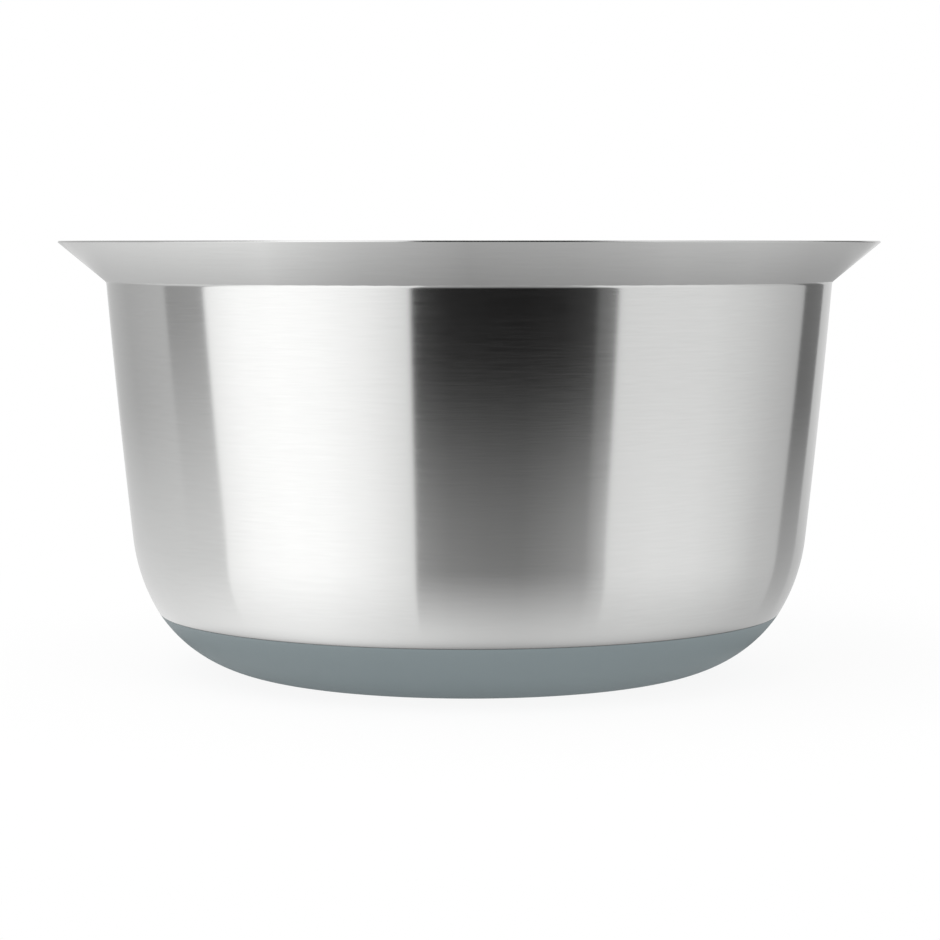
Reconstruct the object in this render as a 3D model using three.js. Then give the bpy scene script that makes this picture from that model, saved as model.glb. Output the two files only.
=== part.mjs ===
// Stainless steel mixing bowl with a flared rim and a grey silicone base bonded into a stepped seat.
// Units are millimetres, +Z is up, and the origin is the centre of the base on the table.
// Every piece is a body of revolution: a closed (radius, height) profile turned about Z.
import * as THREE from "three";

// Steel shell: one sheet, measured on its outer face. Leans are degrees from the vertical.
const RIM_DIAMETER = 250;
const BOWL_HEIGHT = 131.6;
const SHEET = 0.6;
const FLARE_LENGTH = 18.14;
const FLARE_LEAN = 50.3;
const BEND_RADIUS = 1.5;
const WALL_LEAN_TOP = 4.7;
const WALL_LEAN_FOOT = 6.3;
const CORNER_TOP = 41;
const CORNER_RADIUS = 54.5;

// The step where the visible steel ends and the sheet is pressed in to seat the base.
const SEAM_HEIGHT = 18.8;
const STEP_INNER_RADIUS = 0.3;
const STEP_HOLLOW_RADIUS = 0.5;
const SEAT_LEAN = 35.5;

// Silicone base: a cap of even thickness, flush with the steel, with a foot ring underneath.
const BASE_WALL = 1.6;
const FOOT_RING_WIDTH = 20;
const RECESS_DEPTH = 0.5;
const RECESS_DRAFT = 0.5;
const GROOVE_COUNT = 3;
const GROOVE_WIDTH = 1.6;
const GROOVE_DEPTH = 0.6;
const GROOVE_DRAFT = 0.3;

// Cured adhesive between the seat and the base.
const BOND = 0.2;

// Facets: segments round the axis, and steps along each round stretch of a profile.
const SEGMENTS = 64;
const BEND_STEPS = 4;
const WALL_STEPS = 4;
const CORNER_STEPS = 5;
const STEP_STEPS = 2;
const SEAT_STEPS = 7;

const radians = THREE.MathUtils.degToRad;
const point = (radius, height) => new THREE.Vector2(radius, height);
const LEVEL = radians(90);

// The outward normal of a face that leans inwards on its way down.
const normalAt = (lean) => point(Math.cos(lean), -Math.sin(lean));

// A point of a round stretch, sunk into the sheet by an inset. A hollow bend has a negative radius.
const onArc = (arc, lean, inset = 0) =>
  normalAt(lean).multiplyScalar(arc.radius - inset).add(arc.centre);

// A round stretch of a given radius that leaves a point at a given lean.
const arcFrom = (start, lean, radius) =>
  ({ radius, centre: normalAt(lean).multiplyScalar(-radius).add(start) });

// Points along a round stretch in even steps, both ends included.
function along(arc, from, to, steps, inset = 0) {
  const leanOf = (i) => THREE.MathUtils.lerp(from, to, i / steps);
  return Array.from({ length: steps + 1 }, (_, i) => onArc(arc, leanOf(i), inset));
}

// The shell's outer face down to the seam: straight flare, hollow bend, slightly barrelled wall, round corner.
function visibleFace() {
  const flareLean = radians(FLARE_LEAN);
  const wallTop = radians(WALL_LEAN_TOP);
  const wallFoot = radians(WALL_LEAN_FOOT);

  // The edge is cut square to the sheet, so its inner corner is the highest point.
  const rim = point(RIM_DIAMETER / 2, BOWL_HEIGHT - SHEET * Math.sin(flareLean));
  const down = point(-Math.sin(flareLean), -Math.cos(flareLean));
  const flareRoot = down.multiplyScalar(FLARE_LENGTH).add(rim);
  const bend = arcFrom(flareRoot, flareLean, -BEND_RADIUS);

  // The wall's barrel radius carries it from the bend to the height where the corner begins.
  const wallStart = onArc(bend, wallTop);
  const barrel = (wallStart.y - CORNER_TOP) / (Math.sin(wallFoot) - Math.sin(wallTop));
  const wall = arcFrom(wallStart, wallTop, barrel);
  const corner = arcFrom(onArc(wall, wallFoot), wallFoot, CORNER_RADIUS);
  const seamLean = Math.asin((corner.centre.y - SEAM_HEIGHT) / CORNER_RADIUS);
  return { rim, flareLean, bend, wallTop, wall, wallFoot, corner, seamLean };
}

// The step and the seat below the seam. The seat lies deep enough for the base to end flush with the steel.
function seatFace(visible) {
  const seatLean = radians(SEAT_LEAN);
  const seam = onArc(visible.corner, visible.seamLean);
  const step = arcFrom(seam, visible.seamLean, SHEET + STEP_INNER_RADIUS);
  const ledge = onArc(step, LEVEL).y;

  const floor = BASE_WALL + BOND;
  const seatTop = ledge - STEP_HOLLOW_RADIUS * (1 - Math.sin(seatLean));
  const radius = (seatTop - floor) / (1 - Math.sin(seatLean));
  const height = floor + radius;

  // The base's outer face meets the ledge where the steel's own slope would.
  const lipRadius = seam.x - (seam.y - ledge) * Math.tan(visible.seamLean);
  const lipLean = Math.asin((height - ledge) / (radius + floor));
  const seat = { radius, centre: point(lipRadius - (radius + floor) * Math.cos(lipLean), height) };
  const hollow = arcFrom(onArc(seat, seatLean), seatLean, -STEP_HOLLOW_RADIUS);
  return { step, hollow, seat, seatLean, lipLean, floor };
}

const visible = visibleFace();
const below = seatFace(visible);

// The seat's face, or one laid a little outside it, from the hollow bend to the flat floor.
const seatPoints = (inset) => along(below.seat, below.seatLean, LEVEL, SEAT_STEPS, inset);

// The shell's face at some depth inside the sheet, from the floor's centre up to the rim.
function shellProfile(inset) {
  const downwards = [
    normalAt(visible.flareLean).multiplyScalar(-inset).add(visible.rim),
    ...along(visible.bend, visible.flareLean, visible.wallTop, BEND_STEPS, inset),
    ...along(visible.wall, visible.wallTop, visible.wallFoot, WALL_STEPS, inset).slice(1),
    ...along(visible.corner, visible.wallFoot, visible.seamLean, CORNER_STEPS, inset).slice(1),
    ...along(below.step, visible.seamLean, LEVEL, STEP_STEPS, inset).slice(1),
    ...along(below.hollow, LEVEL, below.seatLean, STEP_STEPS, inset),
    ...seatPoints(inset).slice(1),
    point(0, below.floor + inset),
  ];
  return downwards.reverse();
}

// A closed profile turned about Z. It runs from the axis up the outside and back down the inside.
function turned(name, profile, material) {
  const geometry = new THREE.LatheGeometry(profile, SEGMENTS);
  geometry.rotateX(Math.PI / 2);
  const mesh = new THREE.Mesh(geometry, material);
  mesh.name = name;
  return mesh;
}

// The pressed bowl: flare, wall, corner, step, seat and floor are one sheet of even thickness.
function bowlShell() {
  const steel = new THREE.MeshStandardMaterial({ color: 0xc4c5c3, roughness: 0.33, metalness: 1 });
  return turned("bowl_shell", [...shellProfile(0), ...shellProfile(SHEET).reverse()], steel);
}

// The adhesive film: it covers the whole seat, from the step to the centre of the floor.
function adhesiveLayer() {
  const cured = new THREE.MeshStandardMaterial({ color: 0xd8d8d2, roughness: 0.5, metalness: 0 });
  const profile = [
    point(0, BASE_WALL),
    ...seatPoints(-BOND).reverse(),
    ...seatPoints(0),
    point(0, below.floor),
  ];
  return turned("adhesive_layer", profile, cured);
}

// The base's underside, from the centre out: a shallow recess, then a flat foot ring with grip grooves.
function underside() {
  const recess = below.seat.centre.x - FOOT_RING_WIDTH;
  const pitch = FOOT_RING_WIDTH / (GROOVE_COUNT + 1);
  const mouth = GROOVE_WIDTH / 2;
  const bottom = mouth - GROOVE_DRAFT;
  const points = [
    point(0, RECESS_DEPTH),
    point(recess - RECESS_DRAFT, RECESS_DEPTH),
    point(recess, 0),
  ];
  for (let i = 1; i <= GROOVE_COUNT; i++) {
    const middle = recess + i * pitch;
    points.push(
      point(middle - mouth, 0),
      point(middle - bottom, GROOVE_DEPTH),
      point(middle + bottom, GROOVE_DEPTH),
      point(middle + mouth, 0),
    );
  }
  return points;
}

// The silicone cap: its lip stands against the ledge, and its outer face continues the steel's.
function nonslipBase() {
  const silicone = new THREE.MeshStandardMaterial({ color: 0x7d888b, roughness: 0.6, metalness: 0 });
  const profile = [
    ...underside(),
    ...along(below.seat, LEVEL, below.lipLean, SEAT_STEPS, -below.floor),
    onArc(below.hollow, LEVEL),
    ...seatPoints(-BOND),
    point(0, BASE_WALL),
  ];
  return turned("nonslip_base", profile, silicone);
}

const bowl = new THREE.Group();
bowl.add(bowlShell(), adhesiveLayer(), nonslipBase());

export default bowl;
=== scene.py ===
"""A stainless steel mixing bowl with a flared rim and a grey silicone base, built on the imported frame.

Units are metres, +Z is up, and the origin is the centre of the base on the table. Every piece is a body
of revolution: a profile in radius and height, which a Geometry Nodes lathe turns about Z.
"""

import logging
import math
from dataclasses import dataclass, field
from enum import Enum

import bpy
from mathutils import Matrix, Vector


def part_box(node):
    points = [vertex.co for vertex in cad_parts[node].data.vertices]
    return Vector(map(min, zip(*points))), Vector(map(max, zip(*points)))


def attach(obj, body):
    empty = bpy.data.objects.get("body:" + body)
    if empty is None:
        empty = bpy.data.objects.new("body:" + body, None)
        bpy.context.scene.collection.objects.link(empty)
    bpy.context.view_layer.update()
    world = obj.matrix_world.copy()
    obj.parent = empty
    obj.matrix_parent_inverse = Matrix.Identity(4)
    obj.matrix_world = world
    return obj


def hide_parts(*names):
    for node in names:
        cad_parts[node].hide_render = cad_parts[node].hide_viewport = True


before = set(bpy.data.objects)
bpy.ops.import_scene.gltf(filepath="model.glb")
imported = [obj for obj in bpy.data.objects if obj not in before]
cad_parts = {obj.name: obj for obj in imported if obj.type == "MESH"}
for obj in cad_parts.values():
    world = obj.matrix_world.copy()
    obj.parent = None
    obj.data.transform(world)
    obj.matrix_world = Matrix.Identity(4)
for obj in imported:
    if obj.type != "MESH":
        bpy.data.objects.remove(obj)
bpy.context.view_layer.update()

log = logging.getLogger("mixing_bowl")

BODY = "root"
LEVEL = math.radians(90.0)
FULL_CIRCLE = 360.0
WHITE = (1.0, 1.0, 1.0, 1.0)

# Attributes and the UV map: the way along a profile, and the brightness of a studio card.
TRAVEL = "travel"
BRIGHTNESS = "brightness"
UV_MAP = "UVMap"

# The middle of a noise's range, and how far a corner's braces stand off, as a share of its rounding.
NOISE_MIDDLE = 0.5
BRACE_SHARE = 0.25

Colour = tuple[float, float, float]
Place = tuple[float, float, float]
Span = tuple[float, float]


class Slot(Enum):
    """The record's material slots."""

    STEEL = "steel"
    ADHESIVE = "adhesive"
    SILICONE = "silicone"


def outward(lean: float) -> Vector:
    """The outward normal of a face whose way down leads inwards at a lean from the vertical.

    Args:
        lean: The angle from the vertical, in radians. Level and facing down is a quarter turn.

    Returns:
        A unit vector in radius and height.
    """
    return Vector((math.cos(lean), -math.sin(lean)))


@dataclass(frozen=True)
class Knot:
    """A point of a profile, and the radius that rounds its corner."""

    place: Vector
    rounding: float = 0.0


@dataclass(frozen=True)
class Arc:
    """A round stretch of a profile. A hollow bend has a negative radius."""

    radius: float
    centre: Vector

    @classmethod
    def leaving(cls, start: Vector, lean: float, radius: float) -> "Arc":
        """The arc of a given radius that leaves a point at a given lean.

        Args:
            start: Where the arc begins, in radius and height.
            lean: The slope there, in radians from the vertical.
            radius: The arc's radius, negative for a hollow bend.

        Returns:
            The arc.
        """
        return cls(radius, start - outward(lean) * radius)

    def at(self, lean: float, inset: float = 0.0) -> Vector:
        """The arc's point at a lean, sunk into the material by an inset."""
        return self.centre + outward(lean) * (self.radius - inset)

    def along(self, start: float, end: float, steps: int, inset: float = 0.0) -> list[Knot]:
        """Points along the arc in even steps, both ends included.

        Args:
            start: The lean of the first point, in radians.
            end: The lean of the last point, in radians.
            steps: The number of steps between them.
            inset: How far the points lie inside the material.

        Returns:
            The points as knots without rounding.
        """
        turn = (end - start) / steps
        return [Knot(self.at(start + turn * i, inset)) for i in range(steps + 1)]


@dataclass
class Profile:
    """A path in radius and height, from the axis round the outside of a piece and back to the axis."""

    knots: list[Knot]
    corner_steps: int = 4
    brace: float = 0.0

    def rounded(self, before: Vector, knot: Knot, after: Vector) -> list[Vector]:
        """A corner as an arc, braced on both sides so that the flat faces beside it shade flat.

        Args:
            before: The point before the corner.
            knot: The corner.
            after: The point after the corner.

        Returns:
            The points that take the corner's place.
        """
        back = (before - knot.place).normalized()
        ahead = (after - knot.place).normalized()
        half_turn = (math.pi - back.angle(ahead)) / 2
        reach = knot.rounding * math.tan(half_turn)
        middle = knot.place + (back + ahead).normalized() * (knot.rounding / math.cos(half_turn))
        first = knot.place + back * reach - middle
        last = knot.place + ahead * reach - middle
        turn = math.copysign(2 * half_turn, first.x * last.y - first.y * last.x)
        points = [knot.place + back * (reach + self.brace)]
        for i in range(self.corner_steps + 1):
            angle = turn * i / self.corner_steps
            cosine, sine = math.cos(angle), math.sin(angle)
            out = first.x * cosine - first.y * sine
            up = first.x * sine + first.y * cosine
            points.append(middle + Vector((out, up)))
        points.append(knot.place + ahead * (reach + self.brace))
        return points

    def points(self) -> list[Vector]:
        """The whole path with its corners rounded.

        Returns:
            Points in radius and height.
        """
        path: list[Vector] = []
        last = len(self.knots) - 1
        for i, knot in enumerate(self.knots):
            if knot.rounding > 0.0 and 0 < i < last:
                path.extend(self.rounded(self.knots[i - 1].place, knot, self.knots[i + 1].place))
            else:
                path.append(knot.place)
        return path


@dataclass
class BowlForm:
    """The sizes that the three pieces share, and the round stretches that they give."""

    rim_radius: float
    height: float
    floor: float
    base_wall: float
    sheet: float = 0.0006
    flare_length: float = 0.01814
    flare_lean: float = math.radians(50.3)
    bend_radius: float = 0.0015
    wall_top: float = math.radians(4.7)
    wall_foot: float = math.radians(6.3)
    corner_top: float = 0.041
    corner_radius: float = 0.0545
    seam_height: float = 0.0188
    step_inner_radius: float = 0.0003
    hollow_radius: float = 0.0005
    seat_lean: float = math.radians(35.5)
    rim: Vector = field(init=False)
    bend: Arc = field(init=False)
    wall: Arc = field(init=False)
    corner: Arc = field(init=False)
    seam_lean: float = field(init=False)
    step: Arc = field(init=False)
    seat: Arc = field(init=False)
    lip_lean: float = field(init=False)
    hollow: Arc = field(init=False)

    @classmethod
    def from_frame(cls) -> "BowlForm":
        """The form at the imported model's own radius, height, floor and base thickness.

        Returns:
            The form.
        """
        shell_low, shell_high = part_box("bowl_shell")
        film_low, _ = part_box("adhesive_layer")
        return cls(shell_high.x, shell_high.z, shell_low.z, film_low.z)

    def __post_init__(self) -> None:
        """Works out the arcs of the visible steel, and then those of the seat below it."""
        self._shape_wall()
        self._shape_seat()

    def _shape_wall(self) -> None:
        """The steel down to the seam: straight flare, hollow bend, barrelled wall and round corner."""
        self.rim = Vector((self.rim_radius, self.height - self.sheet * math.sin(self.flare_lean)))
        down = Vector((-math.sin(self.flare_lean), -math.cos(self.flare_lean)))
        self.bend = Arc.leaving(self.rim + down * self.flare_length, self.flare_lean, -self.bend_radius)
        start = self.bend.at(self.wall_top)
        barrel = (start.y - self.corner_top) / (math.sin(self.wall_foot) - math.sin(self.wall_top))
        self.wall = Arc.leaving(start, self.wall_top, barrel)
        self.corner = Arc.leaving(self.wall.at(self.wall_foot), self.wall_foot, self.corner_radius)
        self.seam_lean = math.asin((self.corner.centre.y - self.seam_height) / self.corner_radius)

    def _shape_seat(self) -> None:
        """The step and the seat, deep enough for the base to end flush with the steel."""
        seam = self.corner.at(self.seam_lean)
        self.step = Arc.leaving(seam, self.seam_lean, self.sheet + self.step_inner_radius)
        ledge = self.step.at(LEVEL).y
        rise = 1 - math.sin(self.seat_lean)
        radius = (ledge - self.hollow_radius * rise - self.floor) / rise
        height = self.floor + radius
        lip_radius = seam.x - (seam.y - ledge) * math.tan(self.seam_lean)
        outer_radius = radius + self.floor
        self.lip_lean = math.asin((height - ledge) / outer_radius)
        self.seat = Arc(radius, Vector((lip_radius - outer_radius * math.cos(self.lip_lean), height)))
        self.hollow = Arc.leaving(self.seat.at(self.seat_lean), self.seat_lean, -self.hollow_radius)


class NodeBench:
    """Adds nodes to one tree and wires them."""

    def __init__(self, tree: bpy.types.NodeTree) -> None:
        """Takes the tree to work on."""
        self.tree = tree

    def add(
        self, kind: str, inputs: dict[str | int, object] | None = None, **settings: object
    ) -> bpy.types.Node:
        """Adds a node.

        Args:
            kind: The node's type name.
            inputs: Values by socket name or number. A socket as a value is linked, anything else is set.
            settings: The node's own properties.

        Returns:
            The new node.
        """
        node = self.tree.nodes.new(kind)
        for name, value in settings.items():
            setattr(node, name, value)
        for key, value in (inputs or {}).items():
            if isinstance(value, bpy.types.NodeSocket):
                self.tree.links.new(value, node.inputs[key])
            else:
                node.inputs[key].default_value = value
        return node

    def math(self, operation: str, *values: object) -> bpy.types.NodeSocket:
        """The result of a Math node on sockets or numbers."""
        return self.add("ShaderNodeMath", dict(enumerate(values)), operation=operation).outputs[0]

    def mix(self, factor: object, first: object, second: object) -> bpy.types.NodeSocket:
        """The colour between two colours, by a factor.

        Args:
            factor: The share of the second colour, as a socket or a number.
            first: The colour at zero.
            second: The colour at one.

        Returns:
            The socket that carries the colour.
        """
        colour_a, colour_b, colour_out = 6, 7, 2
        values = {0: factor, colour_a: first, colour_b: second}
        return self.add("ShaderNodeMix", values, data_type="RGBA").outputs[colour_out]

    def spread(self, value: bpy.types.NodeSocket, low: float, high: float) -> bpy.types.NodeSocket:
        """A value from 0 to 1, spread between two limits."""
        values = {"Value": value, "To Min": low, "To Max": high}
        return self.add("ShaderNodeMapRange", values).outputs["Result"]


class Lathe:
    """Turns a profile about Z with Geometry Nodes, and leaves a plain mesh."""

    def __init__(self, segments: int = 192, weld: float = 1e-6) -> None:
        """Builds the tree once, for every piece.

        Args:
            segments: Steps round the axis.
            weld: The distance at which the seam and the poles close, in metres.
        """
        self.segments = segments
        self.weld = weld
        self.tree = bpy.data.node_groups.new("Lathe", "GeometryNodeTree")
        self._declare()
        self._wire()

    def _declare(self) -> None:
        """Names the tree's inputs and its output."""
        interface = self.tree.interface
        interface.new_socket("Profile", in_out="INPUT", socket_type="NodeSocketGeometry")
        interface.new_socket("Segments", in_out="INPUT", socket_type="NodeSocketInt")
        interface.new_socket("Profile Length", in_out="INPUT", socket_type="NodeSocketFloat")
        interface.new_socket("Weld Distance", in_out="INPUT", socket_type="NodeSocketFloat")
        interface.new_socket("Finish", in_out="INPUT", socket_type="NodeSocketMaterial")
        interface.new_socket("Piece", in_out="OUTPUT", socket_type="NodeSocketGeometry")

    def _wire(self) -> None:
        """Lays the profile's points along a grid, bends the grid round the axis and closes it."""
        bench = NodeBench(self.tree)
        given = bench.add("NodeGroupInput").outputs
        size = bench.add("GeometryNodeAttributeDomainSize", {"Geometry": given["Profile"]})
        rows = size.outputs["Point Count"]
        columns = bench.math("ADD", given["Segments"], 1.0)
        grid = bench.add("GeometryNodeMeshGrid", {"Vertices X": columns, "Vertices Y": rows})
        index = bench.add("GeometryNodeInputIndex").outputs["Index"]
        column = bench.math("FLOOR", bench.math("DIVIDE", index, rows))
        row = bench.math("MODULO", index, rows)
        angle = bench.math("DIVIDE", bench.math("MULTIPLY", column, math.tau), given["Segments"])

        place = bench.add("GeometryNodeInputPosition").outputs["Position"]
        sampled = bench.add(
            "GeometryNodeSampleIndex",
            {"Geometry": given["Profile"], "Value": place, "Index": row},
            data_type="FLOAT_VECTOR",
        )
        parts = bench.add("ShaderNodeSeparateXYZ", {0: sampled.outputs["Value"]}).outputs
        turned = bench.add(
            "ShaderNodeCombineXYZ",
            {
                "X": bench.math("MULTIPLY", parts["X"], bench.math("COSINE", angle)),
                "Y": bench.math("MULTIPLY", parts["X"], bench.math("SINE", angle)),
                "Z": parts["Z"],
            },
        )
        way = bench.add("GeometryNodeInputNamedAttribute", {"Name": TRAVEL}, data_type="FLOAT")
        way_here = bench.add(
            "GeometryNodeSampleIndex",
            {"Geometry": given["Profile"], "Value": way.outputs["Attribute"], "Index": row},
            data_type="FLOAT",
        )
        measured = bench.add(
            "GeometryNodeStoreNamedAttribute",
            {"Geometry": grid.outputs["Mesh"], "Name": TRAVEL, "Value": way_here.outputs["Value"]},
            data_type="FLOAT",
            domain="POINT",
        )
        placed = bench.add(
            "GeometryNodeSetPosition",
            {"Geometry": measured.outputs["Geometry"], "Position": turned.outputs["Vector"]},
        )
        across = bench.add("ShaderNodeSeparateXYZ", {0: grid.outputs["UV Map"]}).outputs["X"]
        up = bench.math("DIVIDE", way.outputs["Attribute"], given["Profile Length"])
        mapped = bench.add(
            "GeometryNodeStoreNamedAttribute",
            {
                "Geometry": placed.outputs["Geometry"],
                "Name": UV_MAP,
                "Value": bench.add("ShaderNodeCombineXYZ", {"X": across, "Y": up}).outputs["Vector"],
            },
            data_type="FLOAT2",
            domain="CORNER",
        )
        closed = bench.add(
            "GeometryNodeMergeByDistance",
            {"Geometry": mapped.outputs["Geometry"], "Distance": given["Weld Distance"]},
        )
        smooth = bench.add("GeometryNodeSetShadeSmooth", {"Geometry": closed.outputs["Geometry"]})
        real = bench.add("GeometryNodeRealizeInstances", {"Geometry": smooth.outputs["Geometry"]})
        dressed = bench.add(
            "GeometryNodeSetMaterial",
            {"Geometry": real.outputs["Geometry"], "Material": given["Finish"]},
        )
        bench.add("NodeGroupOutput", {"Piece": dressed.outputs["Geometry"]})

    def turn(self, name: str, profile: Profile, material: bpy.types.Material) -> bpy.types.Object:
        """Turns a profile into a closed piece.

        Args:
            name: The piece's name.
            profile: The path to turn.
            material: The piece's finish.

        Returns:
            An object at the origin with a plain mesh and no modifier.
        """
        path = profile.points()
        ways = [0.0]
        for here, there in zip(path, path[1:]):
            ways.append(ways[-1] + (there - here).length)

        outline = bpy.data.meshes.new(name + "_profile")
        places = [(point.x, 0.0, point.y) for point in path]
        edges = [(i, i + 1) for i in range(len(path) - 1)]
        outline.from_pydata(places, edges, [])
        outline.attributes.new(TRAVEL, "FLOAT", "POINT").data.foreach_set("value", ways)
        piece = bpy.data.objects.new(name, outline)
        bpy.context.scene.collection.objects.link(piece)

        modifier = piece.modifiers.new("Lathe", "NODES")
        modifier.node_group = self.tree
        values = {
            "Segments": self.segments,
            "Profile Length": ways[-1],
            "Weld Distance": self.weld,
            "Finish": material,
        }
        for socket in self.tree.interface.items_tree:
            if socket.in_out == "INPUT" and socket.name in values:
                modifier[socket.identifier] = values[socket.name]
        graph = bpy.context.evaluated_depsgraph_get()
        mesh = bpy.data.meshes.new_from_object(piece.evaluated_get(graph), depsgraph=graph)
        mesh.name = name
        mesh.materials.pop(index=0)
        piece.modifiers.clear()
        piece.data = mesh
        bpy.data.meshes.remove(outline)
        return piece


def new_material(name: str) -> tuple[bpy.types.Material, NodeBench]:
    """An empty node material.

    Args:
        name: The material's name.

    Returns:
        The material and a bench on its tree.
    """
    material = bpy.data.materials.new(name)
    material.use_nodes = True
    material.node_tree.nodes.clear()
    return material, NodeBench(material.node_tree)


class SoftMottle:
    """A shader group for moulded soft materials: a faint cloudiness and a fine surface grain."""

    NAME = "Soft mottle"
    CLOUD_DETAIL = 3.0
    GRAIN_DETAIL = 2.0

    @classmethod
    def group(cls) -> bpy.types.NodeTree:
        """The group, built at its first use.

        Returns:
            A shader tree. Its inputs are Cloud Size, Grain Size and Contrast, its outputs Tone and Grain.
        """
        known = bpy.data.node_groups.get(cls.NAME)
        if known is not None:
            return known
        tree = bpy.data.node_groups.new(cls.NAME, "ShaderNodeTree")
        for name in ("Cloud Size", "Grain Size", "Contrast"):
            tree.interface.new_socket(name, in_out="INPUT", socket_type="NodeSocketFloat")
        for name in ("Tone", "Grain"):
            tree.interface.new_socket(name, in_out="OUTPUT", socket_type="NodeSocketFloat")
        bench = NodeBench(tree)
        given = bench.add("NodeGroupInput").outputs
        place = bench.add("ShaderNodeTexCoord").outputs["Object"]
        noises = []
        for size, detail in (("Cloud Size", cls.CLOUD_DETAIL), ("Grain Size", cls.GRAIN_DETAIL)):
            scale = bench.math("DIVIDE", 1.0, given[size])
            values = {"Vector": place, "Scale": scale, "Detail": detail}
            noises.append(bench.add("ShaderNodeTexNoise", values).outputs[0])
        cloud, grain = noises
        lean = bench.math("SUBTRACT", cloud, NOISE_MIDDLE)
        tone = bench.math("ADD", bench.math("MULTIPLY", lean, given["Contrast"]), NOISE_MIDDLE)
        bench.add("NodeGroupOutput", {"Tone": tone, "Grain": grain})
        return tree


@dataclass(frozen=True)
class BrushLines:
    """One size of brush mark: its length round the bowl's wall, its width, and its share."""

    length: float
    width: float
    share: float


@dataclass(frozen=True)
class BrushedSteel:
    """Satin stainless steel, brushed round the axis, so that reflections stretch along the slope."""

    pale: Colour = (0.634, 0.636, 0.63)
    dark: Colour = (0.606, 0.608, 0.602)
    roughness: Span = (0.14, 0.185)
    anisotropy: float = 0.89
    across_the_brush: float = 0.25
    wall_radius: float = 0.105
    depth: float = 0.0000035
    detail: float = 1.0
    contrast: float = 2.2
    marks: tuple[BrushLines, ...] = (
        BrushLines(0.010, 0.0004, 0.5),
        BrushLines(0.005, 0.0002, 0.25),
        BrushLines(0.025, 0.0009, 0.25),
    )

    def lines(self, bench: NodeBench) -> bpy.types.NodeSocket:
        """The brush marks as a value from 0 to 1, laid along circles round the axis.

        Args:
            bench: The material's bench.

        Returns:
            The socket that carries the value.
        """
        place = bench.add("ShaderNodeTexCoord").outputs["Object"]
        flat = bench.add("ShaderNodeVectorMath", {0: place, 1: (1.0, 1.0, 0.0)}, operation="MULTIPLY")
        bearing = bench.add("ShaderNodeVectorMath", {0: flat.outputs[0]}, operation="NORMALIZE")
        parts = bench.add("ShaderNodeSeparateXYZ", {0: bearing.outputs[0]}).outputs
        way = bench.add("ShaderNodeAttribute", attribute_name=TRAVEL).outputs["Fac"]
        total: object = 0.0
        for mark in self.marks:
            turns = self.wall_radius / mark.length
            laid = bench.add(
                "ShaderNodeCombineXYZ",
                {
                    "X": bench.math("MULTIPLY", parts["X"], turns),
                    "Y": bench.math("MULTIPLY", parts["Y"], turns),
                    "Z": bench.math("DIVIDE", way, mark.width),
                },
            )
            values = {"Vector": laid.outputs[0], "Scale": 1.0, "Detail": self.detail}
            noise = bench.add("ShaderNodeTexNoise", values).outputs[0]
            total = bench.math("ADD", total, bench.math("MULTIPLY", noise, mark.share))
        lean = bench.math("MULTIPLY", bench.math("SUBTRACT", total, NOISE_MIDDLE), self.contrast)
        values = {0: lean, 1: NOISE_MIDDLE}
        return bench.add("ShaderNodeMath", values, operation="ADD", use_clamp=True).outputs[0]

    def material(self) -> bpy.types.Material:
        """The finish as a Blender material.

        Returns:
            The material.
        """
        material, bench = new_material("Brushed steel")
        lines = self.lines(bench)
        bump = bench.add("ShaderNodeBump", {"Strength": 1.0, "Distance": self.depth, "Height": lines})
        tangent = bench.add("ShaderNodeTangent", direction_type="UV_MAP", uv_map=UV_MAP)
        shader = bench.add(
            "ShaderNodeBsdfPrincipled",
            {
                "Base Color": bench.mix(lines, (*self.dark, 1.0), (*self.pale, 1.0)),
                "Metallic": 1.0,
                "Roughness": bench.spread(lines, *self.roughness),
                "Anisotropic": self.anisotropy,
                "Anisotropic Rotation": self.across_the_brush,
                "Normal": bump.outputs["Normal"],
                "Tangent": tangent.outputs["Tangent"],
            },
        )
        bench.add("ShaderNodeOutputMaterial", {"Surface": shader.outputs["BSDF"]})
        return material


@dataclass(frozen=True)
class SoftFinish:
    """A moulded or cured soft material with a faint mottle and a fine grain."""

    name: str
    pale: Colour
    dark: Colour
    roughness: Span
    specular: float
    cloud_size: float
    grain_size: float
    contrast: float
    depth: float

    def material(self) -> bpy.types.Material:
        """The finish as a Blender material.

        Returns:
            The material.
        """
        material, bench = new_material(self.name)
        mottle = bench.add(
            "ShaderNodeGroup",
            {"Cloud Size": self.cloud_size, "Grain Size": self.grain_size, "Contrast": self.contrast},
            node_tree=SoftMottle.group(),
        )
        tone, grain = mottle.outputs["Tone"], mottle.outputs["Grain"]
        bump = bench.add("ShaderNodeBump", {"Strength": 1.0, "Distance": self.depth, "Height": grain})
        shader = bench.add(
            "ShaderNodeBsdfPrincipled",
            {
                "Base Color": bench.mix(tone, (*self.dark, 1.0), (*self.pale, 1.0)),
                "Roughness": bench.spread(grain, *self.roughness),
                "Specular IOR Level": self.specular,
                "Normal": bump.outputs["Normal"],
            },
        )
        bench.add("ShaderNodeOutputMaterial", {"Surface": shader.outputs["BSDF"]})
        return material


MOULDED_SILICONE = SoftFinish(
    name="Moulded silicone",
    pale=(0.222, 0.266, 0.279),
    dark=(0.200, 0.242, 0.255),
    roughness=(0.5, 0.62),
    specular=0.4,
    cloud_size=0.03,
    grain_size=0.0004,
    contrast=0.8,
    depth=0.00001,
)

CURED_ADHESIVE = SoftFinish(
    name="Cured adhesive",
    pale=(0.70, 0.70, 0.66),
    dark=(0.62, 0.62, 0.58),
    roughness=(0.4, 0.55),
    specular=0.5,
    cloud_size=0.008,
    grain_size=0.001,
    contrast=1.0,
    depth=0.00002,
)


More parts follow.
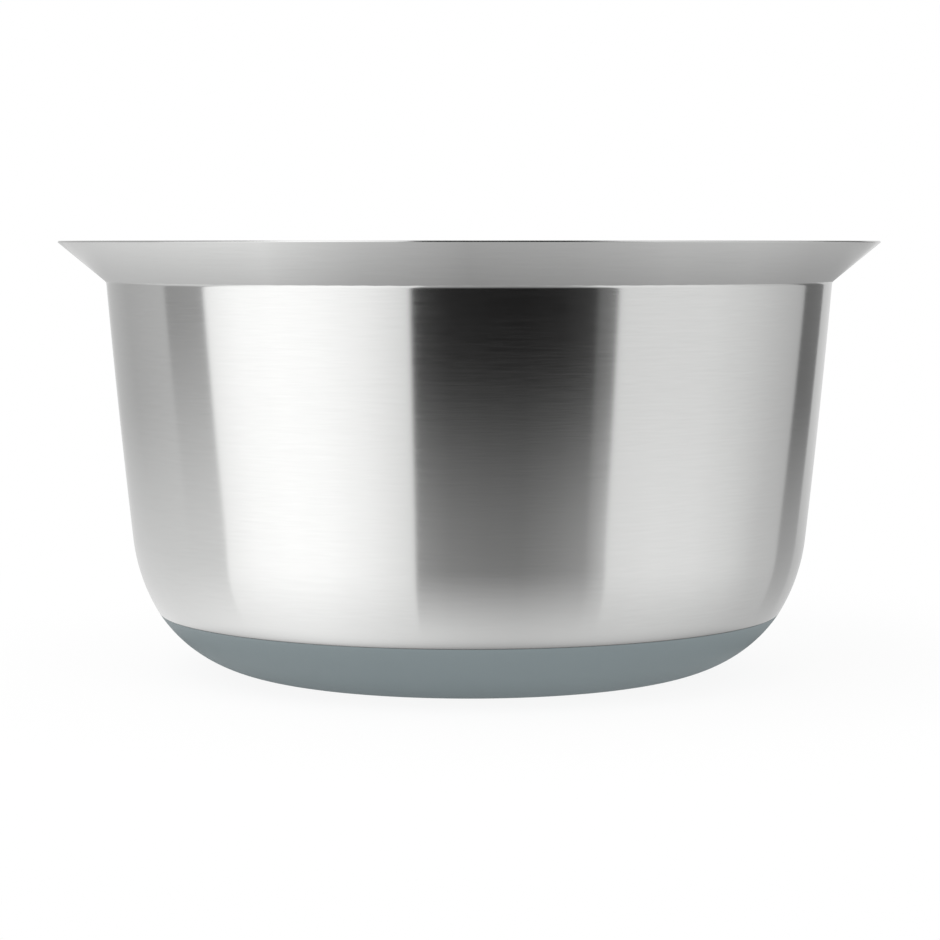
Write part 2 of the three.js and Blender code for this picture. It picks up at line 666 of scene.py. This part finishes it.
def settle(piece: bpy.types.Object, node: str) -> bpy.types.Object:
    """Puts a piece in a CAD node's place on the bowl's one body.

    Args:
        piece: The finished piece.
        node: The CAD node that it stands for.

    Returns:
        The same piece.
    """
    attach(piece, BODY)
    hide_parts(node)
    log.info("%s: %d faces, for %s", piece.name, len(piece.data.polygons), node)
    return piece


@dataclass
class SteelShell:
    """The pressed bowl: flare, wall, corner, step, seat and floor are one sheet of even thickness."""

    form: BowlForm
    finish: BrushedSteel = BrushedSteel()
    edge_rounding: float = 0.00012
    bend_steps: int = 14
    wall_steps: int = 24
    corner_steps: int = 28
    step_steps: int = 8
    seat_steps: int = 26
    brace: float = 0.0004

    def face(self, inset: float) -> list[Knot]:
        """The shell's face at some depth inside the sheet, from below the rim down to the axis.

        Args:
            inset: The depth, zero for the outer face.

        Returns:
            The face's knots.
        """
        form = self.form
        up = outward(form.flare_lean - LEVEL)
        root = form.bend.at(form.flare_lean, inset)
        ledge_out = form.step.at(LEVEL, inset)
        ledge_in = form.hollow.at(LEVEL, inset)
        inwards = Vector((-self.brace, 0.0))
        foot = form.seat.at(LEVEL, inset)
        return [
            Knot(root + up * (form.flare_length / 2)),
            Knot(root + up * self.brace),
            *form.bend.along(form.flare_lean, form.wall_top, self.bend_steps, inset),
            *form.wall.along(form.wall_top, form.wall_foot, self.wall_steps, inset)[1:],
            *form.corner.along(form.wall_foot, form.seam_lean, self.corner_steps, inset)[1:],
            *form.step.along(form.seam_lean, LEVEL, self.step_steps, inset)[1:],
            Knot(ledge_out + inwards),
            Knot(ledge_in - inwards),
            *form.hollow.along(LEVEL, form.seat_lean, self.step_steps, inset),
            *form.seat.along(form.seat_lean, LEVEL, self.seat_steps, inset)[1:],
            Knot(foot + inwards),
            Knot(Vector((0.0, foot.y))),
        ]

    def profile(self) -> Profile:
        """The whole sheet, with its cut edge rounded at the rim.

        Returns:
            The profile, up the outside and down the inside.
        """
        form = self.form
        inner_rim = form.rim - outward(form.flare_lean) * form.sheet
        edge = [Knot(form.rim, self.edge_rounding), Knot(inner_rim, self.edge_rounding)]
        knots = [*reversed(self.face(0.0)), *edge, *self.face(form.sheet)]
        return Profile(knots, brace=self.edge_rounding * BRACE_SHARE)

    def build(self, lathe: Lathe) -> bpy.types.Object:
        """Turns the shell and puts it in its CAD node's place."""
        piece = lathe.turn("steel_bowl", self.profile(), self.finish.material())
        return settle(piece, "bowl_shell")


@dataclass
class AdhesiveFilm:
    """The cured film that covers the whole seat, from the step to the centre of the floor."""

    form: BowlForm
    finish: SoftFinish = CURED_ADHESIVE
    seat_steps: int = 26

    def profile(self) -> Profile:
        """The film between the seat and the base.

        Returns:
            The profile, out along the base and back along the seat.
        """
        form = self.form
        bond = form.floor - form.base_wall
        outside = form.seat.along(LEVEL, form.seat_lean, self.seat_steps, -bond)
        inside = form.seat.along(form.seat_lean, LEVEL, self.seat_steps)
        ends = [Knot(Vector((0.0, height))) for height in (form.base_wall, form.floor)]
        return Profile([ends[0], *outside, *inside, ends[1]])

    def build(self, lathe: Lathe) -> bpy.types.Object:
        """Turns the film and puts it in its CAD node's place."""
        piece = lathe.turn("adhesive_film", self.profile(), self.finish.material())
        return settle(piece, "adhesive_layer")


@dataclass
class SiliconeBase:
    """The moulded cap under the bowl: a lip flush with the steel, and a foot ring with grip grooves."""

    form: BowlForm
    finish: SoftFinish = MOULDED_SILICONE
    ring_width: float = 0.02
    recess_depth: float = 0.0005
    recess_draft: float = 0.0005
    groove_count: int = 3
    groove_width: float = 0.0016
    groove_depth: float = 0.0006
    groove_draft: float = 0.0003
    rounding: float = 0.00012
    lip_rounding: float = 0.00003
    lip_gap: float = 0.00002
    lip_turn: float = math.radians(20.0)
    lip_steps: int = 6
    seat_steps: int = 26

    def underside(self) -> list[Knot]:
        """The underside from the centre out: a shallow recess, then a flat foot ring with grooves.

        Returns:
            The underside's knots.
        """
        recess = self.form.seat.centre.x - self.ring_width
        pitch = self.ring_width / (self.groove_count + 1)
        mouth = self.groove_width / 2
        bottom = mouth - self.groove_draft
        path = [
            (0.0, self.recess_depth),
            (recess - self.recess_draft, self.recess_depth),
            (recess, 0.0),
        ]
        for i in range(1, self.groove_count + 1):
            middle = recess + i * pitch
            path += [
                (middle - mouth, 0.0),
                (middle - bottom, self.groove_depth),
                (middle + bottom, self.groove_depth),
                (middle + mouth, 0.0),
            ]
        return [Knot(Vector(place), self.rounding) for place in path]

    def profile(self) -> Profile:
        """The cap, whose lip lies against the rolled edge of the steel.

        Returns:
            The profile, out along the underside, up to the lip and back along the film.
        """
        form = self.form
        bond = form.floor - form.base_wall
        outside = form.seat.along(LEVEL, form.lip_lean, self.seat_steps, -form.floor)
        contact = form.step.along(form.seam_lean + self.lip_turn, LEVEL, self.lip_steps, -self.lip_gap)
        lip = Knot(contact[0].place, self.lip_rounding)
        inside = form.seat.along(form.seat_lean, LEVEL, self.seat_steps, -bond)
        top = Knot(form.hollow.at(LEVEL, -self.lip_gap))
        centre = Knot(Vector((0.0, form.base_wall)))
        knots = [*self.underside(), *outside, lip, *contact[1:], top, *inside, centre]
        return Profile(knots, brace=self.rounding * BRACE_SHARE)

    def build(self, lathe: Lathe) -> bpy.types.Object:
        """Turns the cap and puts it in its CAD node's place."""
        piece = lathe.turn("silicone_base", self.profile(), self.finish.material())
        return settle(piece, "nonslip_base")


def between(values: tuple[float, ...], share: float) -> float:
    """A value on the line through evenly spaced values.

    Args:
        values: The values, first to last.
        share: The way along them, from 0 to 1.

    Returns:
        The value there.
    """
    step = min(int(share * (len(values) - 1)), len(values) - 2)
    rest = share * (len(values) - 1) - step
    return values[step] + (values[step + 1] - values[step]) * rest


def from_front(bearing: float) -> float:
    """A bearing in radians as a turn from the camera's side, at most a half turn to either side."""
    return (bearing + math.pi) % math.tau - math.pi


def way_at(turn: float) -> Vector:
    """The level unit vector from the bowl's axis, at a turn from the camera's side towards its right."""
    return Vector((math.sin(turn), -math.cos(turn)))


@dataclass(frozen=True)
class Card:
    """An upright curved studio card, with an apron on the floor and a canopy overhead.

    The bearings are in degrees round the bowl, from the camera's side towards its right. The levels are
    the brightness along the card, evenly spaced: high up, at its foot, and in its painted pool of light
    on its apron on the floor beside the bowl.
    """

    name: str
    start: float
    end: float
    high: tuple[float, ...]
    foot: tuple[float, ...]
    # The painted pool of light on the apron beside the bowl.
    pool: tuple[float, ...]
    fade_height: float = 0.06

    def share(self, bearing: float) -> float:
        """The way along the card at a bearing, above 1 beside the card."""
        return ((bearing - self.start) % FULL_CIRCLE) / (self.end - self.start)

    def bearing(self, share: float) -> float:
        """The bearing at a share of the way along the card."""
        return self.start + (self.end - self.start) * share

    def foot_at(self, bearing: float) -> float:
        """The brightness at the card's foot, at a bearing."""
        return between(self.foot, self.share(bearing))

    def pool_at(self, bearing: float) -> float:
        """The brightness of the card's painted pool of light, at a bearing."""
        return between(self.pool, self.share(bearing))

    def level(self, share: float, height: float) -> float:
        """The upright card's brightness.

        Args:
            share: The way along the card, from 0 to 1.
            height: The height above its foot, in metres.

        Returns:
            The brightness.
        """
        rise = min(height / self.fade_height, 1.0)
        foot = between(self.foot, share)
        return foot + (between(self.high, share) - foot) * rise


def clear_from_behind(bench: NodeBench, front: bpy.types.NodeSocket) -> None:
    """Ends a material with one shader on the front of its faces and a clear back.

    Args:
        bench: The material's bench.
        front: The shader's socket.
    """
    behind = bench.add("ShaderNodeNewGeometry").outputs["Backfacing"]
    clear = bench.add("ShaderNodeBsdfTransparent").outputs[0]
    sides = bench.add("ShaderNodeMixShader", {0: behind, 1: front, 2: clear})
    bench.add("ShaderNodeOutputMaterial", {"Surface": sides.outputs[0]})


@dataclass
class GlowingStrip:
    """A strip of faces with its own brightness at each point, which only reflections see.

    Its points come column by column. Its bright side faces the bowl, and from behind it is clear.
    """

    name: str
    columns: int
    corners: list[Place] = field(default_factory=list)
    levels: list[float] = field(default_factory=list)

    def add(self, corner: Place, level: float) -> None:
        """Adds the next point of a column, with its brightness."""
        self.corners.append(corner)
        self.levels.append(level)

    def build(self) -> None:
        """Makes the strip from its points."""
        rows = len(self.corners) // (self.columns + 1)
        faces = []
        for i in range(self.columns):
            for j in range(rows - 1):
                first = i * rows + j
                faces.append((first, first + 1, first + rows + 1, first + rows))
        mesh = bpy.data.meshes.new(self.name)
        mesh.from_pydata(self.corners, [], faces)
        mesh.attributes.new(BRIGHTNESS, "FLOAT", "POINT").data.foreach_set("value", self.levels)
        mesh.materials.append(self._glow())
        strip = bpy.data.objects.new(self.name, mesh)
        strip.visible_camera = False
        strip.visible_diffuse = False
        strip.visible_transmission = False
        strip.visible_volume_scatter = False
        strip.visible_shadow = False
        bpy.context.scene.collection.objects.link(strip)

    def _glow(self) -> bpy.types.Material:
        """A material that shines as brightly as the strip's points say.

        Returns:
            The material.
        """
        material, bench = new_material(self.name)
        level = bench.add("ShaderNodeAttribute", attribute_name=BRIGHTNESS).outputs["Fac"]
        glow = bench.add("ShaderNodeEmission", {"Color": WHITE, "Strength": level})
        clear_from_behind(bench, glow.outputs[0])
        return material


@dataclass
class CardRing:
    """The cards that stand in a ring round the bowl, for the wall of the bowl to reflect."""

    cards: tuple[Card, ...] = (
        Card(
            "front_flag", -13.8, 31.0,
            high=(0.06, 0.018, 0.012, 0.011, 0.018, 0.05),
            foot=(0.44, 0.32, 0.28, 0.27, 0.34, 0.44),
            pool=(0.88, 0.79, 0.77, 0.77, 0.8, 0.87),
        ),
        Card("grey_edge", 31.0, 36.4, high=(0.16, 0.27), foot=(0.48, 0.78), pool=(0.9, 0.9)),
        Card(
            "right_softbox", 36.4, 107.0,
            high=(1.0, 1.03, 1.02, 0.9, 0.74, 0.6),
            foot=(1.08, 1.15, 1.13, 1.0, 0.78, 0.7),
            pool=(0.9, 0.96, 0.92, 0.78, 0.68, 0.62),
        ),
        Card("right_flag", 107.0, 124.5, high=(0.18, 0.22), foot=(0.48, 0.5), pool=(0.62, 0.62)),
        Card("back_card", 124.5, 200.0, high=(0.68, 1.0), foot=(0.62, 0.72), pool=(0.62, 0.75)),
        Card(
            "left_card", 200.0, 271.5,
            high=(1.0, 0.6, 0.54, 0.66),
            foot=(0.72, 0.8, 0.88, 0.92),
            pool=(0.8, 0.95, 1.0, 1.05),
        ),
        Card(
            "left_flag", 271.5, 288.0,
            high=(0.4, 0.46),
            foot=(0.92, 0.96),
            pool=(1.1, 1.2),
            fade_height=0.085,
        ),
        Card(
            "left_softbox", 288.0, 346.2,
            high=(1.32, 1.53, 1.58, 1.52, 1.34, 1.03),
            foot=(1.34, 1.53, 1.6, 1.56, 1.38, 1.1),
            pool=(1.25, 1.35, 1.38, 1.35, 1.2, 1.0),
        ),
    )
    radius: float = 0.26
    height: float = 0.5
    lift: float = 0.001
    column_degrees: float = 3.0
    edge_share: float = 0.001
    fade_steps: int = 20
    apron_radius: float = 0.09
    apron_squeeze: float = 0.61
    squeeze_power: int = 8
    # The painted pool of light beside the bowl, and the painted shade of the bowl's shadow close to it.
    pool_radius: float = 0.112
    pool_blur: float = 26.0
    pool_power: float = 3.0
    pool_samples: int = 9
    shade_reach: Span = (0.099, 0.105)
    shade_level: float = 0.25
    canopy_reach: Span = (0.25, 0.12)
    canopy_spread: float = 0.7
    canopy_least: float = 0.08

    def build(self) -> None:
        """Stands every card in its place."""
        for card in self.cards:
            self._stand(card)

    def _card_at(self, bearing: float) -> Card:
        """The card that stands at a bearing in degrees."""
        return next(card for card in self.cards if card.share(bearing) <= 1.0)

    def _apron_level(self, bearing: float, radius: float) -> float:
        """The brightness on the floor between the ring of cards and the bowl.

        Towards the bowl the cards' edges blur into a painted pool of light, and close to the bowl a
        painted shade stands in for the bowl's shadow.

        Args:
            bearing: The bearing in degrees, at the ring.
            radius: The distance from the bowl's axis.

        Returns:
            The brightness.
        """
        middle = (self.pool_samples - 1) / 2
        bearings = [bearing + self.pool_blur * (i / middle - 1.0) for i in range(self.pool_samples)]
        pool = sum(self._card_at(near).pool_at(near) for near in bearings) / self.pool_samples
        foot = self._card_at(bearing).foot_at(bearing)
        inwards = min((self.radius - radius) / (self.radius - self.pool_radius), 1.0)
        # Painted shade: close to the bowl the apron is darker, as if in the bowl's shadow.
        dark, clear = self.shade_reach
        out = min(max((radius - dark) / (clear - dark), 0.0), 1.0)
        shade = self.shade_level + (1.0 - self.shade_level) * out
        return (foot + (pool - foot) * inwards ** self.pool_power) * shade

    def _apron_ends(self, turn: float) -> tuple[Vector, Vector]:
        """Where a card stands and where its apron ends, for one turn from the camera's side.

        Seen in the bowl's lower corner, a card's sides stay upright only if its apron narrows towards
        the bowl. Right behind the bowl, where nothing of it is seen, the aprons meet.

        Args:
            turn: The turn of the card's foot, in radians.

        Returns:
            The foot's place and the apron's inner end, on the floor.
        """
        behind = (abs(turn) / math.pi) ** self.squeeze_power
        drawn_in = turn * (self.apron_squeeze + (1.0 - self.apron_squeeze) * behind)
        return way_at(turn) * self.radius, way_at(drawn_in) * self.apron_radius

    def _canopy_way(self, turn: float) -> Vector:
        """The way of the canopy over a card, which fans out wider than the card, most of all in front.

        Args:
            turn: The turn of the card's foot, in radians from the camera's side.

        Returns:
            A level unit vector from the bowl's axis.
        """
        return way_at(turn * (1.0 + self.canopy_spread * (1.0 - abs(turn) / math.pi)))

    def _stand(self, card: Card) -> None:
        """Stands one card in the ring: its apron from the bowl outwards, its upright and its canopy.

        Args:
            card: The card to make.
        """
        columns = max(1, round((card.end - card.start) / self.column_degrees))
        strip = GlowingStrip(card.name, columns)
        steps = [i / self.fade_steps for i in range(self.fade_steps + 1)]
        heights = [*(card.fade_height * step for step in steps[1:]), self.height]
        for i in range(columns + 1):
            share = i / columns
            turn = from_front(math.radians(card.bearing(share)))
            inside = card.bearing(min(max(share, self.edge_share), 1.0 - self.edge_share))
            foot, end = self._apron_ends(turn)
            for step in steps:
                place = end.lerp(foot, step * step)
                strip.add((place.x, place.y, self.lift), self._apron_level(inside, place.length))
            for height in heights:
                strip.add((foot.x, foot.y, self.lift + height), card.level(share, height))
            over = self._canopy_way(turn)
            canopy = max(card.level(share, self.height), self.canopy_least)
            for radius in self.canopy_reach:
                strip.add((over.x * radius, over.y * radius, self.lift + self.height), canopy)
        strip.build()


@dataclass
class BrimCard:
    """A ring-shaped card held close under the flare, for the flare's outer face to reflect.

    The levels are the brightness round the ring, evenly spaced from the camera's side towards its right.
    The shades are the shares of it at the radii of the card's reach, darkest at the inner edge by the
    wall: a painted shade under the flare.
    """

    height: float = 0.1192
    reach: tuple[float, ...] = (0.1109, 0.1245, 0.15)
    # A painted shade: the inner edge, close under the flare, is darker.
    shades: tuple[float, ...] = (0.8, 1.12, 1.12)
    columns: int = 96
    levels: tuple[float, ...] = (
        0.5, 0.55, 0.67, 0.66, 0.54, 0.48, 0.48, 0.55, 0.65, 0.75, 0.75, 0.75,
        0.75, 0.75, 0.75, 0.72, 0.68, 0.65, 0.65, 0.7, 0.82, 0.91, 0.98, 0.69,
    )

    def build(self) -> None:
        """Makes the card as one strip round the bowl."""
        strip = GlowingStrip("brim_card", self.columns)
        for i in range(self.columns + 1):
            share = i / self.columns
            way = way_at(math.tau * share)
            level = between((*self.levels, self.levels[0]), share)
            for radius, shade in zip(self.reach, self.shades):
                strip.add((way.x * radius, way.y * radius, self.height), level * shade)
        strip.build()


@dataclass
class PaleFloor:
    """A pale floor that turns to plain white away from the bowl and keeps its shadow close by.

    From below it can be looked through, so that the bowl's underside can be seen.
    """

    size: float = 8.0
    height: float = -0.0001
    colour: Colour = (0.9, 0.9, 0.9)
    shadow_reach: Span = (0.14, 0.34)
    held_white: float = 0.9
    held_in_reflections: float = 0.35
    held_in_soft_light: float = 0.5

    def build(self) -> None:
        """Lays the floor just under the bowl."""
        half = self.size / 2
        outline = ((-half, -half), (half, -half), (half, half), (-half, half))
        mesh = bpy.data.meshes.new("floor")
        mesh.from_pydata([(x, y, self.height) for x, y in outline], [], [(0, 1, 2, 3)])
        mesh.materials.append(self._material())
        floor = bpy.data.objects.new("floor", mesh)
        bpy.context.scene.collection.objects.link(floor)

    def _material(self) -> bpy.types.Material:
        """White to the camera, to reflections and through glass, and matt where the shadow falls.

        Returns:
            The material.
        """
        material, bench = new_material("Pale floor")
        # Sampled as a lamp, so large a face would leave dark lines on the bowl's underside.
        material.cycles.emission_sampling = "NONE"
        rays = bench.add("ShaderNodeLightPath").outputs
        place = bench.add("ShaderNodeTexCoord").outputs["Object"]
        away = bench.add("ShaderNodeVectorMath", {0: place}, operation="LENGTH").outputs["Value"]
        near, far = self.shadow_reach
        least = bench.spread(rays["Is Glossy Ray"], self.held_white, self.held_in_reflections)
        values = {"Value": away, "From Min": near, "From Max": far, "To Min": least, "To Max": 1.0}
        held = bench.add("ShaderNodeMapRange", values, interpolation_type="SMOOTHSTEP").outputs["Result"]

        shown = bench.math("MAXIMUM", rays["Is Camera Ray"], rays["Is Glossy Ray"])
        shown = bench.math("MAXIMUM", shown, rays["Is Transmission Ray"])
        lighting = bench.math("MULTIPLY", rays["Is Diffuse Ray"], self.held_in_soft_light)
        white = bench.math("MAXIMUM", bench.math("MULTIPLY", held, shown), lighting)
        matt = bench.add("ShaderNodeBsdfDiffuse", {"Color": (*self.colour, 1.0)})
        glow = bench.add("ShaderNodeEmission", {"Color": WHITE, "Strength": 1.0})
        both = bench.add("ShaderNodeMixShader", {0: white, 1: matt.outputs[0], 2: glow.outputs[0]})
        clear_from_behind(bench, both.outputs[0])
        return material


@dataclass
class Studio:
    """The floor and the cards, soft light from all round, a lamp and the camera."""

    floor: PaleFloor = field(default_factory=PaleFloor)
    ring: CardRing = field(default_factory=CardRing)
    brim: BrimCard = field(default_factory=BrimCard)
    soft_light: float = 1.0
    lamp_power: float = 8.0
    lamp_size: float = 1.2
    lamp_place: Place = (-0.5, -0.7, 1.5)
    camera_distance: float = 0.9008
    camera_height: float = 0.1305
    camera_aside: float = 0.00024
    camera_tilt: float = math.radians(4.404)
    lens: float = 112.2
    sensor: float = 36.0

    def build(self) -> None:
        """Sets the whole studio up, and shows colours as they are written."""
        bpy.context.scene.view_settings.view_transform = "Standard"
        self._world()
        for part in (self.floor, self.ring, self.brim):
            part.build()
        self._lamp()
        self._camera()

    def _world(self) -> None:
        """A plain white surround, which is also the soft light from all round."""
        world = bpy.data.worlds.new("Studio")
        world.use_nodes = True
        world.node_tree.nodes.clear()
        bench = NodeBench(world.node_tree)
        sky = bench.add("ShaderNodeBackground", {"Color": WHITE, "Strength": self.soft_light})
        bench.add("ShaderNodeOutputWorld", {"Surface": sky.outputs[0]})
        bpy.context.scene.world = world

    def _lamp(self) -> None:
        """A large soft lamp above and in front, which reflections don't show."""
        light = bpy.data.lights.new("soft_lamp", "AREA")
        light.energy = self.lamp_power
        light.size = self.lamp_size
        lamp = bpy.data.objects.new("soft_lamp", light)
        lamp.location = self.lamp_place
        lamp.rotation_euler = (-Vector(self.lamp_place)).to_track_quat("-Z", "Y").to_euler()
        lamp.visible_glossy = False
        bpy.context.scene.collection.objects.link(lamp)

    def _camera(self) -> None:
        """The camera, level with the rim and tilted down a little."""
        lens = bpy.data.cameras.new("camera")
        lens.lens = self.lens
        lens.sensor_width = self.sensor
        camera = bpy.data.objects.new("camera", lens)
        camera.location = (self.camera_aside, -self.camera_distance, self.camera_height)
        camera.rotation_euler = (LEVEL - self.camera_tilt, 0.0, 0.0)
        bpy.context.scene.collection.objects.link(camera)
        bpy.context.scene.camera = camera


def main() -> None:
    """Builds the bowl's pieces in order, and then the studio round them."""
    logging.basicConfig(level=logging.INFO, format="%(name)s: %(message)s")
    form = BowlForm.from_frame()
    lathe = Lathe()
    for piece in (SteelShell(form), AdhesiveFilm(form), SiliconeBase(form)):
        piece.build(lathe)
    Studio().build()


if __name__ == "__main__":
    main()
